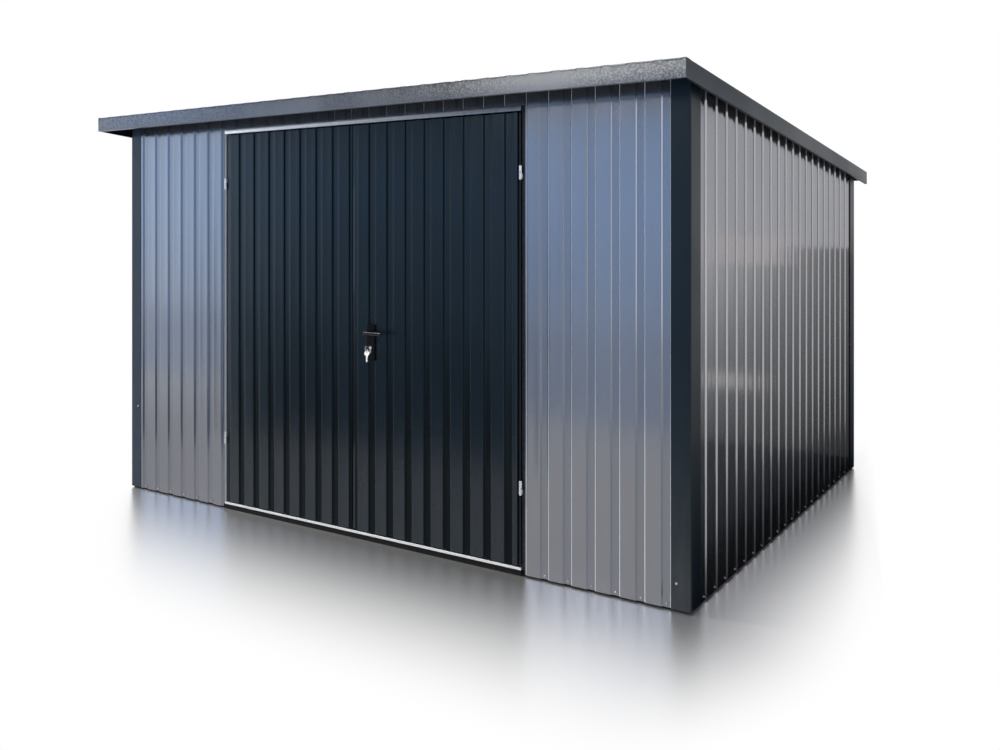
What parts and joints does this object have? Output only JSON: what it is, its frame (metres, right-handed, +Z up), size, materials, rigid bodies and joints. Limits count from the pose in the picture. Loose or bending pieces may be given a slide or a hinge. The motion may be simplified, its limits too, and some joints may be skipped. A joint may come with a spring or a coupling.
{
  "type": "metal storage shed",
  "caption": "Pent-roofed metal storage shed clad in vertical grooved sheet, with a hinged double-leaf door and a lever lock.",
  "frame": {"origin": "on the ground, under the middle of the roof's plan", "axes": "+Z up, the door front faces -Y, +X to the right seen from the front"},
  "size_m": [3.61, 2.766, 2.11],
  "materials": {
    "silver_sheet": "glossy coil-coated silver-grey",
    "anthracite_sheet": "satin coil-coated anthracite",
    "anthracite_trim": "matt fine-grain anthracite",
    "door_frame_paint": "satin anthracite paint",
    "base_paint": "matt dark grey paint",
    "galvanised": "hot-dip galvanised",
    "zinc_plate": "bright zinc plate",
    "black_metal": "satin black",
    "nickel": "nickel plate"
  },
  "bodies": {
    "shed": {"front_left_wall": "silver_sheet", "front_right_wall": "silver_sheet", "front_header": "silver_sheet", "left_wall": "silver_sheet", "right_wall": "silver_sheet", "back_wall": "silver_sheet", "roof_sheet": "anthracite_sheet", "front_corner_trims": "anthracite_trim", "back_corner_trims": "anthracite_trim", "front_fascia": "anthracite_trim", "left_fascia": "anthracite_trim", "right_fascia": "anthracite_trim", "back_drip_edge": "anthracite_trim", "side_base_rails": "base_paint", "back_base_rail": "base_paint", "front_base_rails": "base_paint", "door_base_rail": "base_paint", "door_sill": "galvanised", "front_corner_posts": "galvanised", "back_corner_posts": "galvanised", "door_posts": "galvanised", "door_lintel": "galvanised", "front_top_rail": "galvanised", "back_top_rail": "galvanised", "side_top_rails": "galvanised", "roof_purlins": "galvanised", "side_mid_rails": "galvanised", "back_mid_rail": "galvanised", "front_mid_rails": "galvanised", "left_hinge_pins": "zinc_plate", "right_hinge_pins": "zinc_plate"},
    "left_door": {"left_door_sheet": "anthracite_sheet", "left_door_stiles": "door_frame_paint", "left_door_rails": "door_frame_paint", "left_hinge_knuckles": "zinc_plate"},
    "right_door": {"right_door_sheet": "anthracite_sheet", "right_door_stiles": "door_frame_paint", "right_door_rails": "door_frame_paint", "right_hinge_knuckles": "zinc_plate", "lock_case": "galvanised", "handle_plates": "black_metal", "lock_cylinder": "nickel", "keys": "nickel"},
    "handle": {"lever_handle": "black_metal"}
  },
  "joints": [
    {"name": "left_door_swing", "type": "hinge", "parent": "shed", "child": "left_door", "pos_m": [-0.939, -1.2152, 1.05], "axis": [0, 0, -1], "range_deg": [0, 160]},
    {"name": "right_door_swing", "type": "hinge", "parent": "shed", "child": "right_door", "pos_m": [0.959, -1.2152, 1.05], "axis": [0, 0, 1], "range_deg": [0, 160]},
    {"name": "lever_turn", "type": "hinge", "parent": "right_door", "child": "handle", "pos_m": [0.1065, -1.2, 0.993], "axis": [0, 1, 0], "range_deg": [0, 45], "stiffness_Nm_per_rad": 1.2, "springref_deg": -22.92}
  ]
}
